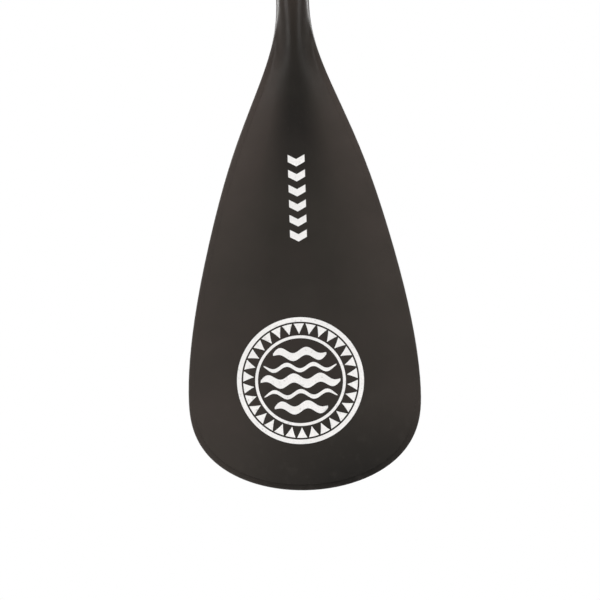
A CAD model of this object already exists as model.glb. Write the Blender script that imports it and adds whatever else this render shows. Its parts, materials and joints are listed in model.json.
import json
from math import cos, pi, radians, sin, sqrt

import bpy
from mathutils import Matrix, Vector
from mathutils.bvhtree import BVHTree


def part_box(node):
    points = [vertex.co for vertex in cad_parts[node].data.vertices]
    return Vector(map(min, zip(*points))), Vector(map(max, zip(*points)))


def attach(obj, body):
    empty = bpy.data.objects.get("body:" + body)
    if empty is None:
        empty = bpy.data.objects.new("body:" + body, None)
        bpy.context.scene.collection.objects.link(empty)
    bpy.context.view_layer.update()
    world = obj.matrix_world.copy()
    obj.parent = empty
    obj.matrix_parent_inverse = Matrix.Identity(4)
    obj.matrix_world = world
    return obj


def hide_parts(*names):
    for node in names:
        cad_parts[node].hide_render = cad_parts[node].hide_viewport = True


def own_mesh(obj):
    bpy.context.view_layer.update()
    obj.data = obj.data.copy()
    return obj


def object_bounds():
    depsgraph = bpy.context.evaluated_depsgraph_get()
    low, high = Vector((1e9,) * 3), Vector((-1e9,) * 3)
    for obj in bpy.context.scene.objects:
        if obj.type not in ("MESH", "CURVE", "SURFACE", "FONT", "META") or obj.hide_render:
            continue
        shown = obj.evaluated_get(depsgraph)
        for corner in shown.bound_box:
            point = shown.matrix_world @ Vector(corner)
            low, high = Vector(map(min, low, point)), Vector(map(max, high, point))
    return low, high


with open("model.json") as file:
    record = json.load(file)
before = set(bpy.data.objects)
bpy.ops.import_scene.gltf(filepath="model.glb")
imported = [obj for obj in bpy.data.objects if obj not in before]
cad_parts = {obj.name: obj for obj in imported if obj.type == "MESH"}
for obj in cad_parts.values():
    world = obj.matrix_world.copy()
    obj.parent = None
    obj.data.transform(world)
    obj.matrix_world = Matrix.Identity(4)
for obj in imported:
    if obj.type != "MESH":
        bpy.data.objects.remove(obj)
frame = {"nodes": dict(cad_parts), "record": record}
cad_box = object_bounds()
nodes = frame["nodes"]
joints = {joint["name"]: joint for joint in frame["record"]["behaviour"]["joints"]}

MM = 0.001
PRINT_LIFT = 0.06 * MM  # how far the blade's print stands proud
SCALE_LIFT = 0.05 * MM  # less for the scale, which slides inside the middle shaft
SINK = 0.03 * MM  # how far a thin piece reaches into what carries it
SMOOTH_ANGLE = radians(40)  # edges sharper than this stay crisp
SHAFT_R = (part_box("lower_shaft")[1][0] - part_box("lower_shaft")[0][0]) / 2


# ---------------------------------------------------------------- materials


class Shader:
    """A Principled material with short ways to add nodes. Its coordinates are the shared frame's."""

    def __init__(self, name, colour, roughness, **fixed):
        self.material = bpy.data.materials.new(name)
        self.material.use_nodes = True
        self.tree = self.material.node_tree
        self.bsdf = self.tree.nodes["Principled BSDF"]
        self.bsdf.inputs["Base Color"].default_value = (*colour, 1)
        self.bsdf.inputs["Roughness"].default_value = roughness
        for socket, value in fixed.items():
            self.bsdf.inputs[socket.replace("_", " ")].default_value = value
        self.coords = self.tree.nodes.new("ShaderNodeTexCoord").outputs["Object"]

    def node(self, kind, **values):
        made = self.tree.nodes.new(kind)
        for name, value in values.items():
            setattr(made, name, value)
        return made

    def link(self, source, target):
        self.tree.links.new(source, target)

    def stretched(self, scale):
        """Coordinates multiplied along X, Y and Z."""
        mapping = self.node("ShaderNodeMapping")
        mapping.inputs["Scale"].default_value = scale
        self.link(self.coords, mapping.inputs["Vector"])
        return mapping.outputs["Vector"]

    def noise(self, scale, detail, stretch=(1, 1, 1)):
        """Noise from 0 to 1; scale is in cells per metre."""
        texture = self.node("ShaderNodeTexNoise")
        texture.inputs["Scale"].default_value = scale
        texture.inputs["Detail"].default_value = detail
        self.link(self.stretched(stretch), texture.inputs["Vector"])
        return texture.outputs["Fac"]

    def place(self, axis):
        """Place along an axis, in metres."""
        split = self.node("ShaderNodeSeparateXYZ")
        self.link(self.coords, split.inputs["Vector"])
        return split.outputs[axis]

    def wound_bands(self, count):
        """Phases of two sets of bands wound round the shaft, left and right handed."""
        turn = self.product(self.maths("ARCTAN2", self.place("Y"), self.place("X")), count)
        climb = self.product(self.place("Z"), count / SHAFT_R)
        return self.maths("ADD", turn, climb), self.maths("SUBTRACT", turn, climb)

    def sine(self, phase, times=1):
        """Sine of a phase, or of a whole number of times that."""
        return self.maths("SINE", self.product(phase, times))

    def remap(self, value, a, b, low=0, high=1):
        """Value taken from a to b onto low to high, clamped."""
        made = self.node("ShaderNodeMapRange")
        self.link(value, made.inputs["Value"])
        for name, number in (("From Min", a), ("From Max", b), ("To Min", low), ("To Max", high)):
            made.inputs[name].default_value = number
        return made.outputs["Result"]

    def product(self, first, *others):
        """Values, or values and numbers, multiplied."""
        for other in others:
            first = self.maths("MULTIPLY", first, other)
        return first

    def maths(self, operation, first, second=0):
        """Two values, or a value and a number, put together."""
        made = self.node("ShaderNodeMath", operation=operation)
        self.link(first, made.inputs[0])
        if isinstance(second, (int, float)):
            made.inputs[1].default_value = second
        else:
            self.link(second, made.inputs[1])
        return made.outputs["Value"]

    def blend(self, share, first, second):
        """Mix of two colours, each a socket or three numbers."""
        made = self.node("ShaderNodeMix", data_type="RGBA")
        self.link(share, made.inputs["Factor"])
        for slot, colour in ((6, first), (7, second)):
            if isinstance(colour, tuple):
                made.inputs[slot].default_value = (*colour, 1)
            else:
                self.link(colour, made.inputs[slot])
        return made.outputs[2]

    def colour(self, socket):
        self.link(socket, self.bsdf.inputs["Base Color"])

    def roughness(self, socket):
        self.link(socket, self.bsdf.inputs["Roughness"])

    def bump(self, height, strength, distance):
        """Bump laid over any bump already there."""
        made = self.node("ShaderNodeBump")
        made.inputs["Strength"].default_value = strength
        made.inputs["Distance"].default_value = distance
        self.link(height, made.inputs["Height"])
        before = self.bsdf.inputs["Normal"].links
        if before:
            self.link(before[0].from_socket, made.inputs["Normal"])
        self.link(made.outputs["Normal"], self.bsdf.inputs["Normal"])

    def soften_edges(self, radius):
        """Sharp edges catch the light as if rounded."""
        made = self.node("ShaderNodeBevel", samples=6)
        made.inputs["Radius"].default_value = radius
        self.link(made.outputs["Normal"], self.bsdf.inputs["Normal"])


def blade_zones(s):
    """Shares of the blade's rubbed sides and of its darker middle, both fading out at the neck."""
    x, z = s.place("X"), s.place("Z")
    widest_z, half_widest, half_neck = -0.350, 0.102, 0.0145
    half_width = s.remap(z, widest_z, 0.0, half_widest, half_neck)
    half_width.node.interpolation_type = "SMOOTHSTEP"
    share = s.maths("DIVIDE", s.maths("ABSOLUTE", x), half_width)
    upper = s.remap(z, -0.34, -0.12, 0.22, 0.75)
    below_neck = s.remap(z, -0.03, -0.09)
    cloud = s.remap(s.noise(26, 4), 0.3, 0.7, 0.75, 1.1)
    strength = s.product(upper, below_neck, cloud)
    sides = s.product(s.remap(share, 0.30, 1.0), strength)
    fade = s.remap(z, -0.20, -0.13, 0.15, 1)
    middle = s.product(s.remap(share, 0.15, 0.60, 1.1, 0), strength, fade)
    return sides, middle


def blade_laminate():
    """Satin composite: mottled, paler at the rubbed sides, darker in the middle, glossier at the neck."""
    plain, plainer = (0.0172, 0.0143, 0.0116), (0.0216, 0.0180, 0.0148)
    reddish, pale, dark = (0.0232, 0.0163, 0.0145), (0.049, 0.0390, 0.0340), (0.0048, 0.0040, 0.0032)
    dust, scratch = (0.038, 0.0335, 0.029), (0.038, 0.0325, 0.028)
    s = Shader("blade_laminate", plain, 0.48, Specular_IOR_Level=0.13)
    x, z = s.place("X"), s.place("Z")
    base = s.blend(s.remap(s.noise(22, 5), 0.3, 0.7), plain, plainer)
    base = s.blend(s.remap(s.noise(13, 3), 0.45, 0.7, 0, 0.5), base, reddish)
    sides, middle = blade_zones(s)
    base = s.blend(sides, base, pale)
    base = s.blend(middle, base, dark)
    neck = s.remap(z, -0.035, -0.015, 0, 0.20)
    base = s.blend(neck, base, pale)
    low_left = s.product(s.remap(x, 0.02, -0.07), s.remap(z, -0.26, -0.39), 0.24)
    base = s.blend(low_left, base, pale)
    low_right = s.product(s.remap(x, -0.06, 0.05, 0.2, 0.95), s.remap(z, -0.37, -0.44))
    base = s.blend(low_right, base, dark)
    specks = s.product(s.remap(z, -0.30, -0.45), s.remap(s.noise(95, 6), 0.55, 0.75, 0, 0.30))
    base = s.blend(specks, base, dust)
    scuffs = s.remap(s.noise(60, 4, (14, 14, 1)), 0.66, 0.74, 0, 0.22)
    s.colour(s.blend(scuffs, base, scratch))
    satin = s.remap(s.noise(140, 4), 0.3, 0.7, 0.44, 0.52)
    gloss = s.remap(z, -0.085, -0.02, 0, 0.16)
    s.roughness(s.maths("SUBTRACT", satin, gloss))
    s.bump(s.noise(1500, 3), 0.10, 0.05 * MM)
    s.bump(s.noise(30, 2), 0.25, 0.25 * MM)
    return s.material


def shaft_laminate(name, roughness):
    """Wound tube under clear lacquer: fibre bands that cross at 45 degrees, one over the other."""
    bands, threads = 10, 14
    lacquer = {"Specular_IOR_Level": 0.25, "Coat_Weight": 0.12, "Coat_Roughness": 0.14}
    s = Shader(name, (0.020, 0.018, 0.0165), roughness, **lacquer)
    first, second = s.wound_bands(bands)
    crossing = s.remap(s.product(s.sine(first), s.sine(second)), -0.12, 0.12)
    first_threads = s.remap(s.sine(first, threads), -1, 1)
    second_threads = s.remap(s.sine(second, threads), -1, 1)
    fibres = s.blend(crossing, first_threads, second_threads)
    patch = s.remap(s.noise(18, 3, (1, 1, 0.4)), 0.35, 0.65)
    tone = s.blend(patch, (0.0150, 0.0130, 0.0118), (0.0225, 0.0200, 0.0182))
    tone = s.blend(s.product(crossing, 0.40), tone, (0.040, 0.036, 0.033))
    s.colour(s.blend(s.product(fibres, 0.22), tone, (0.050, 0.046, 0.042)))
    s.roughness(s.remap(s.noise(60, 4, (1, 1, 0.15)), 0.3, 0.7, roughness - 0.05, roughness + 0.07))
    s.bump(fibres, 0.10, 0.02 * MM)
    s.bump(s.noise(40, 2), 0.2, 0.08 * MM)
    return s.material


def moulded(name, colour, roughness, grain=1400, edge=0.3 * MM):
    """Moulded plastic: fine grain, rounded edges, paler rubbed patches."""
    s = Shader(name, colour, roughness, Specular_IOR_Level=0.45)
    s.soften_edges(edge)
    pale = tuple(min(1.0, 1.7 * c + 0.01) for c in colour)
    rubbed = s.remap(s.noise(160, 5), 0.55, 0.8, 0, 0.5)
    s.colour(s.blend(rubbed, colour, pale))
    s.roughness(s.remap(s.noise(220, 4), 0.3, 0.7, roughness - 0.06, roughness + 0.06))
    s.bump(s.noise(grain, 4), 0.35, 0.06 * MM)
    return s.material


def rubber(name):
    """Soft matte overmould with a pebbled grain."""
    s = Shader(name, (0.040, 0.040, 0.041), 0.82, Specular_IOR_Level=0.35)
    cells = s.node("ShaderNodeTexVoronoi", feature="SMOOTH_F1")
    cells.inputs["Scale"].default_value = 750
    s.link(s.coords, cells.inputs["Vector"])
    s.soften_edges(0.4 * MM)
    worn = s.remap(s.noise(90, 4), 0.5, 0.75, 0, 0.5)
    s.colour(s.blend(worn, (0.036, 0.036, 0.037), (0.060, 0.060, 0.061)))
    s.roughness(s.remap(s.noise(180, 3), 0.3, 0.7, 0.72, 0.9))
    s.bump(cells.outputs["Distance"], 0.5, 0.12 * MM)
    return s.material


def metal(name, colour, roughness, stretch):
    """Machined metal: brushed along the stretched direction, with dull spots."""
    s = Shader(name, colour, roughness, Metallic=1.0)
    s.soften_edges(0.15 * MM)
    lines = s.noise(1600, 3, stretch)
    dull = s.remap(s.noise(240, 5), 0.45, 0.75, 0, 0.6)
    s.colour(s.blend(dull, colour, tuple(0.72 * c for c in colour)))
    s.roughness(s.remap(lines, 0.3, 0.7, roughness - 0.05, roughness + 0.09))
    s.bump(lines, 0.12, 0.02 * MM)
    return s.material


def foam(name):
    """Closed-cell foam, pale and pitted."""
    s = Shader(name, (0.72, 0.68, 0.56), 0.9)
    s.colour(s.blend(s.remap(s.noise(300, 4), 0.3, 0.7), (0.68, 0.63, 0.50), (0.78, 0.74, 0.63)))
    s.bump(s.noise(900, 3), 0.6, 0.2 * MM)
    return s.material


def ink(name, colour, worn):
    """Printed ink with pinholes and slightly rubbed places."""
    s = Shader(name, colour, 0.42, Specular_IOR_Level=0.4)
    grain = s.remap(s.noise(420, 5), 0.60, 0.72, 0, worn)
    mesh = s.remap(s.noise(900, 3), 0.35, 0.65)
    cloud = s.remap(s.noise(35, 3), 0.35, 0.65, 0.3, 1)
    shade = s.blend(s.product(mesh, cloud), tuple(0.86 * c for c in colour), colour)
    s.colour(s.blend(grain, shade, tuple(0.35 * c for c in colour)))
    s.roughness(s.remap(s.noise(160, 3), 0.3, 0.7, 0.36, 0.5))
    s.bump(s.noise(1100, 3), 0.15, 0.02 * MM)
    return s.material


def dress_cad():
    """Gives every CAD node its material."""
    laminate = blade_laminate()
    shaft = shaft_laminate("shaft_laminate", 0.30)
    inner = shaft_laminate("inner_laminate", 0.38)
    edge = moulded("edge_plastic", (0.020, 0.0165, 0.0132), 0.46, 900)
    clamp = moulded("clamp_plastic", (0.028, 0.028, 0.029), 0.46)
    nylon = moulded("nylon", (0.045, 0.045, 0.046), 0.55)
    steel = metal("bolt_steel", (0.62, 0.62, 0.60), 0.30, (1, 1, 0.05))
    core = foam("core_foam")
    looks = {
        "blade_front_skin": laminate,
        "blade_back_skin": laminate,
        "blade_edge_band": laminate,
        "blade_core": core,
        "lower_shaft_plug": core,
        "neck_insert": nylon,
        "lower_shaft": shaft,
        "middle_shaft": shaft,
        "joint_ferrule": inner,
        "upper_shaft": inner,
        "ferrule_stop_ring": edge,
        "ferrule_end_plug": nylon,
        "upper_end_plug": nylon,
        "clamp_bush": nylon,
        "clamp_collar": clamp,
        "clamp_lever": moulded("lever_plastic", (0.032, 0.032, 0.034), 0.38),
        "clamp_bolt": steel,
        "clamp_washer": steel,
        "clamp_saddle": metal("saddle_steel", (0.58, 0.58, 0.57), 0.36, (0.05, 1, 1)),
        "clamp_barrel": metal("barrel_brass", (0.72, 0.53, 0.27), 0.30, (1, 1, 0.05)),
        "snap_spring": metal("spring_steel", (0.55, 0.55, 0.54), 0.32, (1, 1, 0.05)),
        "snap_button": metal("button_steel", (0.70, 0.70, 0.69), 0.14, (1, 0.05, 1)),
        "grip_body": moulded("grip_plastic", (0.029, 0.029, 0.030), 0.48, edge=0.6 * MM),
        "grip_pad": rubber("grip_rubber"),
    }
    for name, look in looks.items():
        mesh = nodes[name].data
        mesh.materials.clear()
        mesh.materials.append(look)


# ---------------------------------------------------------------- thin raised pieces


def mesh_object(name, verts, faces, look):
    """Object of a new mesh, with one material."""
    mesh = bpy.data.meshes.new(name)
    mesh.from_pydata(verts, [], faces)
    mesh.materials.append(look)
    made = bpy.data.objects.new(name, mesh)
    bpy.context.scene.collection.objects.link(made)
    return made


def shade_smooth(piece):
    """Smooth shading, apart from the sharp edges."""
    for polygon in piece.data.polygons:
        polygon.use_smooth = True
    piece.data.set_sharp_from_angle(angle=SMOOTH_ANGLE)


class Marks:
    """Collects thin closed patches laid on a surface, then makes one object of them."""

    def __init__(self, place, lift=PRINT_LIFT):
        self.place = place
        self.lift = lift
        self.verts = []
        self.faces = []

    def patch(self, across, along, at, closed=False):
        """Grid patch whose flat coordinates are at(u, v), both from 0 to 1. Closed, it joins v's ends."""
        layers = []
        for offset in (-SINK, self.lift):
            rows = []
            for j in range(along if closed else along + 1):
                row = []
                for i in range(across + 1):
                    point, normal = self.place(*at(i / across, j / along))
                    row.append(len(self.verts))
                    self.verts.append(point + normal * offset)
                rows.append(row)
            if closed:
                rows.append(rows[0])
            layers.append(rows)
        low, top = layers
        first = len(self.faces)
        for j in range(along):
            for i in range(across):
                self.faces.append((top[j][i], top[j][i + 1], top[j + 1][i + 1], top[j + 1][i]))
                self.faces.append((low[j][i], low[j + 1][i], low[j + 1][i + 1], low[j][i + 1]))
        for i in range(0 if closed else across):
            self.faces.append((low[0][i], low[0][i + 1], top[0][i + 1], top[0][i]))
            self.faces.append((top[along][i], top[along][i + 1], low[along][i + 1], low[along][i]))
        for j in range(along):
            self.faces.append((top[j][0], top[j + 1][0], low[j + 1][0], low[j][0]))
            self.faces.append((low[j][across], low[j + 1][across], top[j + 1][across], top[j][across]))
        self.face_outward(first, low, top)

    def face_outward(self, first, low, top):
        """Turns the new faces round if the patch was laid mirrored."""
        corner, across, along = (self.verts[k] for k in (top[0][0], top[0][1], top[1][0]))
        outward = corner - self.verts[low[0][0]]
        if (across - corner).cross(along - corner).dot(outward) < 0:
            self.faces[first:] = [tuple(reversed(face)) for face in self.faces[first:]]

    def make(self, name, look, body):
        """The finished piece, riding on its body."""
        piece = mesh_object(name, self.verts, self.faces, look)
        shade_smooth(piece)
        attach(piece, body)


def surface_of(node):
    """Ray-cast tree of a CAD node's mesh."""
    mesh = nodes[node].data
    points = [vertex.co.copy() for vertex in mesh.vertices]
    return BVHTree.FromPolygons(points, [tuple(face.vertices) for face in mesh.polygons])


def on_blade_front():
    """Places (x, z) on the blade's power face."""
    tree = surface_of("blade_front_skin")
    facing = Vector((0, -1, 0))

    def place(x, z):
        hit = tree.ray_cast(Vector((x, -1, z)), -facing)[0]
        return hit, facing

    return place


def on_tube(radius, turn):
    """Places (run, z) round a tube, starting from an angle."""

    def place(run, z):
        angle = turn + run / radius
        normal = Vector((cos(angle), sin(angle), 0))
        return normal * radius + Vector((0, 0, z)), normal

    return place


# ---------------------------------------------------------------- blade print


def bar(marks, x0, z0, x1, z1, width):
    """Straight bar between two points, in steps short enough to follow a tube."""
    step = 0.8 * MM
    run = Vector((x1 - x0, z1 - z0))
    side = Vector((-run.y, run.x)).normalized() * width
    steps = max(2, round(run.length / step))

    def at(u, v):
        point = Vector((x0, z0)) + run * v + side * (u - 0.5)
        return point.x, point.y

    marks.patch(3, steps, at)


def chevrons(place, white):
    """Column of chevrons down the blade's middle."""
    middle, top, count, pitch = -0.0012, -0.1510, 6, 0.0132
    half, rise, stroke = 0.0074, 0.0040, 0.0064
    marks = Marks(place)
    for i in range(count):

        def at(u, v, z=top - pitch * i):
            out = 2 * v - 1
            return middle + half * out, z - rise * (1 - abs(out)) - stroke * u

        marks.patch(3, 12, at)
    marks.make("blade_chevrons", white, "blade_section")


def ring(marks, centre, inner, outer):
    """Flat ring."""

    def at(u, v):
        angle = 2 * pi * v
        radius = inner + (outer - inner) * u
        return centre[0] + radius * sin(angle), centre[1] + radius * cos(angle)

    marks.patch(2, 120, at, closed=True)


def wave_band(marks, centre, limit, level, width, swell, crests, shift):
    """Wavy stripe that narrows to its ends, inside a circle."""
    half_run = sqrt(limit**2 - (abs(level) + swell) ** 2)
    narrowing, suddenness = 0.75, 6

    def at(u, v):
        out = 2 * v - 1
        x = half_run * out
        full = width * (1 - narrowing * out**suddenness)
        z = level + swell * sin(crests * pi * x / limit + shift) + full * (u - 0.5)
        return centre[0] + x, centre[1] + z

    marks.patch(4, 56, at)


def tooth(marks, centre, angle, half_turn, root, tip):
    """Pointed tooth from an outer radius in to a smaller one."""
    point_share = 0.96

    def at(u, v):
        turn = angle + half_turn * (2 * u - 1) * (1 - point_share * v)
        radius = root + (tip - root) * v
        return centre[0] + radius * sin(turn), centre[1] + radius * cos(turn)

    marks.patch(4, 4, at)


def medallion(place, white):
    """Round mark of rings, teeth and waves."""
    centre = (-0.0034, -0.3500)
    outer_ring, inner_ring = (0.0520, 0.0560), (0.0375, 0.0400)
    teeth, tooth_share, root, tip = 30, 0.86, 0.0505, 0.0415
    wave_limit, wave_pitch, swell, crests = 0.0352, 0.0118, 0.0026, 3
    wave_widths = (0.0070, 0.0036, 0.0080, 0.0036, 0.0070)
    marks = Marks(place)
    ring(marks, centre, *outer_ring)
    ring(marks, centre, *inner_ring)
    for i in range(teeth):
        tooth(marks, centre, 2 * pi * i / teeth, pi / teeth * tooth_share, root, tip)
    for i, width in enumerate(wave_widths):
        level = (i - len(wave_widths) // 2) * wave_pitch
        wave_band(marks, centre, wave_limit, level, width, swell, crests, i * pi / 2)
    marks.make("blade_medallion", white, "blade_section")


# ---------------------------------------------------------------- length scale

SEGMENTS = {
    "0": "abcdef", "1": "bc", "2": "abged", "3": "abgcd", "4": "fgbc",
    "5": "afgcd", "6": "afgedc", "7": "abc", "8": "abcdefg", "9": "abcdfg",
}
STROKES = {
    "a": (0, 2, 1, 2), "b": (1, 2, 1, 1), "c": (1, 1, 1, 0), "d": (0, 0, 1, 0),
    "e": (0, 1, 0, 0), "f": (0, 2, 0, 1), "g": (0, 1, 1, 1),
}


def digits(marks, text, left, base):
    """Plain figures of straight strokes that don't touch."""
    width, height, pitch = 2.0 * MM, 4.8 * MM, 3.3 * MM
    stroke, stroke_gap = 0.55 * MM, 0.30 * MM
    for i, figure in enumerate(text):
        x = left + i * pitch
        for key in SEGMENTS[figure]:
            x0, z0, x1, z1 = STROKES[key]
            begin = Vector((x + x0 * width, base + z0 * height / 2))
            end = Vector((x + x1 * width, base + z1 * height / 2))
            gap = (end - begin).normalized() * stroke_gap
            begin, end = begin + gap, end - gap
            bar(marks, begin.x, begin.y, end.x, end.y, stroke)


def length_scale(white):
    """Centimetre marks on the upper shaft, read at the clamp's top edge."""
    low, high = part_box("upper_shaft")
    reading_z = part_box("clamp_bush")[1][2]
    shortest = 100 * (cad_box[1][2] - cad_box[0][2])
    longest = shortest + 100 * joints["length_adjust"]["range_m"][1]
    tick, long_tick, tick_width = 2.6 * MM, 4.5 * MM, 0.5 * MM
    figures_left, figures_drop, figures_every = -10.0 * MM, 2.4 * MM, 5
    marks = Marks(on_tube((high[1] - low[1]) / 2, radians(-90)), SCALE_LIFT)
    for length in range(int(shortest) + 1, int(longest) + 1):
        z = reading_z - (length - shortest) / 100
        numbered = length % figures_every == 0
        bar(marks, 0, z, long_tick if numbered else tick, z, tick_width)
        if numbered:
            digits(marks, str(length), figures_left, z - figures_drop)
    marks.make("length_scale", white, "upper_section")


# ---------------------------------------------------------------- small raised details


def neck_seam(look):
    """Thin bead of resin where the blade's neck meets the shaft."""
    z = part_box("lower_shaft")[0][2]
    height, lift = 0.9 * MM, 0.10 * MM
    marks = Marks(on_tube(SHAFT_R, 0), lift)
    marks.patch(4, 120, lambda u, v: (2 * pi * SHAFT_R * v, z + height * (u - 0.5)), closed=True)
    marks.make("neck_seam", look, "blade_section")


def lever_ribs(look):
    """Finger ridges near the lever's free end."""
    low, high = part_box("clamp_lever")
    tree = surface_of("clamp_lever")
    middle = (low[2] + high[2]) / 2
    reach = (high[2] - low[2]) * 0.36
    count, first, pitch, sweep = 6, radians(-118), radians(6), 0.035
    lift, far = 0.5 * MM, 0.1

    def place(angle, z):
        out = Vector((cos(angle), sin(angle), 0))
        return tree.ray_cast(Vector((0, 0, z)) + out * far, -out)[0], out

    marks = Marks(place, lift)
    for i in range(count):
        angle = first - pitch * i
        marks.patch(2, 8, lambda u, v, a=angle: (a + sweep * (u - 0.5), middle + reach * (2 * v - 1)))
    marks.make("lever_ribs", look, "lever")


def pad_ribs(look):
    """Raised ribs over the grip pad."""
    low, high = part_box("grip_pad")
    tree = surface_of("grip_pad")
    centre_z = low[2] - 2.0 * MM
    half = (high[0] - low[0]) * 0.42
    count, width, half_turn = 13, 1.6 * MM, radians(66)
    lift, far = 0.45 * MM, 0.05

    def place(x, angle):
        out = Vector((0, sin(angle), cos(angle)))
        return tree.ray_cast(Vector((x, 0, centre_z)) + out * far, -out)[0], out

    marks = Marks(place, lift)
    for i in range(count):
        x = half * (2 * i / (count - 1) - 1)
        marks.patch(2, 16, lambda u, v, x=x: (x + width * (u - 0.5), half_turn * (2 * v - 1)))
    marks.make("grip_pad_ribs", look, "upper_section")


def leaf_spring(look):
    """Bent strip behind the snap button. It closes up as the button goes in."""
    low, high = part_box("snap_spring")
    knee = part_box("snap_button")[0][2]
    thick = 0.6 * MM
    route = strip_route(low[1] + thick / 2, high[1] - thick / 2, high[2], knee, low[2] + thick / 2)
    verts, faces = strip(route, thick, low[0], high[0])
    spring = mesh_object("leaf_spring", verts, faces, look)
    shade_smooth(spring)
    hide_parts("snap_spring")
    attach(spring, "middle_section")
    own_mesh(spring)


def strip_route(front, back, top, knee, foot):
    """(y, z) points down the front leaf, round the foot and up the back leaf."""
    bend, bend_steps, knee_curve = 2.5 * MM, 12, 3.0 * MM
    centre = (front + back) / 2
    lean = (back - centre - bend) / (knee - foot - bend)
    route = [(front, top), (front, knee)]
    for i in range(bend_steps + 1):
        angle = pi * i / bend_steps
        route.append((centre - bend * cos(angle), foot + bend - bend * sin(angle)))
    route += [(back, knee), (back, top)]
    return rounded(route, knee_curve * (1 + lean))


def rounded(route, reach):
    """Route with its knees cut into small curves."""
    steps = 4
    out = [route[0]]
    for before, here, after in zip(route, route[1:], route[2:]):
        knee = Vector(here)
        to_before, to_after = Vector(before) - knee, Vector(after) - knee
        cut = min(reach, to_before.length / 3, to_after.length / 3)
        start = knee + to_before.normalized() * cut
        end = knee + to_after.normalized() * cut
        for i in range(steps + 1):
            u = i / steps
            out.append(tuple(start * (1 - u) ** 2 + knee * 2 * u * (1 - u) + end * u**2))
    return out + [route[-1]]


def strip(route, thick, x0, x1):
    """Closed strip of even thickness along a route in the YZ plane."""
    sides = []
    for i, here in enumerate(route):
        before, after = route[max(0, i - 1)], route[min(len(route) - 1, i + 1)]
        run = (Vector(after) - Vector(before)).normalized()
        out = Vector((-run.y, run.x)) * thick / 2
        sides.append((Vector(here) + out, Vector(here) - out))
    verts = [(x, side.x, side.y) for pair in sides for side in pair for x in (x0, x1)]
    faces = []
    for i in range(len(route) - 1):
        a, b = 4 * i, 4 * i + 4
        for p, q in ((0, 1), (1, 3), (3, 2), (2, 0)):
            faces.append((a + p, a + q, b + q, b + p))
    end = 4 * (len(route) - 1)
    return verts, faces + [(2, 3, 1, 0), (end, end + 1, end + 3, end + 2)]


# ---------------------------------------------------------------- stage, light, camera


def add_floor():
    """Pale round floor, below the blade's tip."""
    drop, count, radius = 0.15, 96, 1.45
    z = cad_box[0][2] - drop
    rim = [(radius * cos(2 * pi * i / count), radius * sin(2 * pi * i / count), z) for i in range(count)]
    faces = [(0, 1 + i, 1 + (i + 1) % count) for i in range(count)]
    s = Shader("floor_paper", (0.86, 0.86, 0.85), 0.85)
    s.colour(s.blend(s.remap(s.noise(5, 3), 0.3, 0.7), (0.84, 0.84, 0.83), (0.88, 0.88, 0.87)))
    s.bump(s.noise(500, 3), 0.1, 0.1 * MM)
    floor = mesh_object("floor", [(0, 0, z), *rim], faces, s.material)


def area_light(name, at, aim, size, power):
    """Soft rectangular light. Size is in metres and power in watts."""
    data = bpy.data.lights.new(name, "AREA")
    data.shape = "RECTANGLE"
    data.size, data.size_y = size
    data.energy = power
    light = bpy.data.objects.new(name, data)
    light.location = at
    light.rotation_euler = (Vector(aim) - Vector(at)).to_track_quat("-Z", "Y").to_euler()
    bpy.context.scene.collection.objects.link(light)


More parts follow.
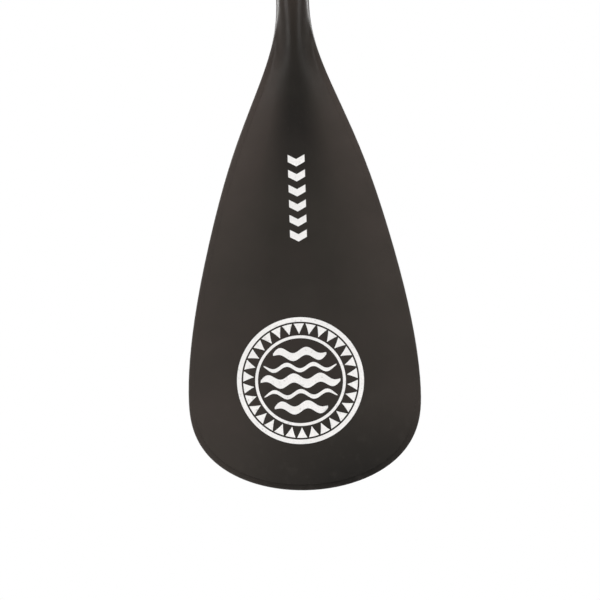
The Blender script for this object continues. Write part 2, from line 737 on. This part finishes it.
def add_world():
    """White surroundings, dimmer as light than as a backdrop."""
    as_light, as_backdrop = 0.30, 1.0
    world = bpy.data.worlds.new("studio")
    bpy.context.scene.world = world
    world.use_nodes = True
    tree = world.node_tree
    lit = tree.nodes["Background"]
    seen = tree.nodes.new("ShaderNodeBackground")
    for background, strength in ((lit, as_light), (seen, as_backdrop)):
        background.inputs["Color"].default_value = (1, 1, 1, 1)
        background.inputs["Strength"].default_value = strength
    path = tree.nodes.new("ShaderNodeLightPath")
    mix = tree.nodes.new("ShaderNodeMixShader")
    tree.links.new(path.outputs["Is Camera Ray"], mix.inputs["Fac"])
    tree.links.new(lit.outputs["Background"], mix.inputs[1])
    tree.links.new(seen.outputs["Background"], mix.inputs[2])
    tree.links.new(mix.outputs["Shader"], tree.nodes["World Output"].inputs["Surface"])


def add_lights():
    """Soft boxes at the sides, behind the edges, above and at the back."""
    area_light("left_box", (-1.6, -1.3, 0.0), (0, 0, -0.15), (0.7, 2.0), 27)
    area_light("right_box", (1.6, -1.3, 0.0), (0, 0, -0.15), (0.7, 2.0), 20)
    area_light("left_rim", (-1.3, 0.9, 0.1), (0, 0, 0), (0.5, 2.4), 48)
    area_light("right_rim", (1.3, 0.9, 0.1), (0, 0, 0), (0.5, 2.4), 40)
    area_light("top_box", (-0.4, -1.6, 2.2), (0, 0, 0), (1.8, 1.2), 29)
    area_light("back_box", (0.8, 1.8, 1.3), (0, 0, 0.2), (1.6, 1.6), 24)


def add_camera():
    """Long lens square on to the blade, rolled as the paddle leans in the picture."""
    roll, distance, seen_width = 0.0312, 14.0, 0.5272
    centre = Vector((-0.00165, 0, -0.2789))
    data = bpy.data.cameras.new("camera")
    data.sensor_width = 36
    data.lens = data.sensor_width * distance / seen_width
    data.clip_end = 60
    camera = bpy.data.objects.new("camera", data)
    right = Vector((cos(roll), 0, -sin(roll)))
    up = Vector((sin(roll), 0, cos(roll)))
    back = right.cross(up)
    turn = Matrix((right, up, back)).transposed().to_4x4()
    camera.matrix_world = Matrix.Translation(centre + back * distance) @ turn
    bpy.context.scene.collection.objects.link(camera)
    bpy.context.scene.camera = camera
    bpy.context.scene.view_settings.view_transform = "Standard"


dress_cad()
blade_ink = ink("blade_ink", (0.72, 0.705, 0.695), 0.5)
blade_front = on_blade_front()
chevrons(blade_front, blade_ink)
medallion(blade_front, blade_ink)
length_scale(ink("scale_ink", (0.78, 0.78, 0.77), 0.3))
neck_seam(moulded("seam_resin", (0.020, 0.019, 0.018), 0.32))
lever_ribs(nodes["clamp_lever"].data.materials[0])
pad_ribs(nodes["grip_pad"].data.materials[0])
leaf_spring(nodes["snap_spring"].data.materials[0])
add_floor()
add_world()
add_lights()
add_camera()
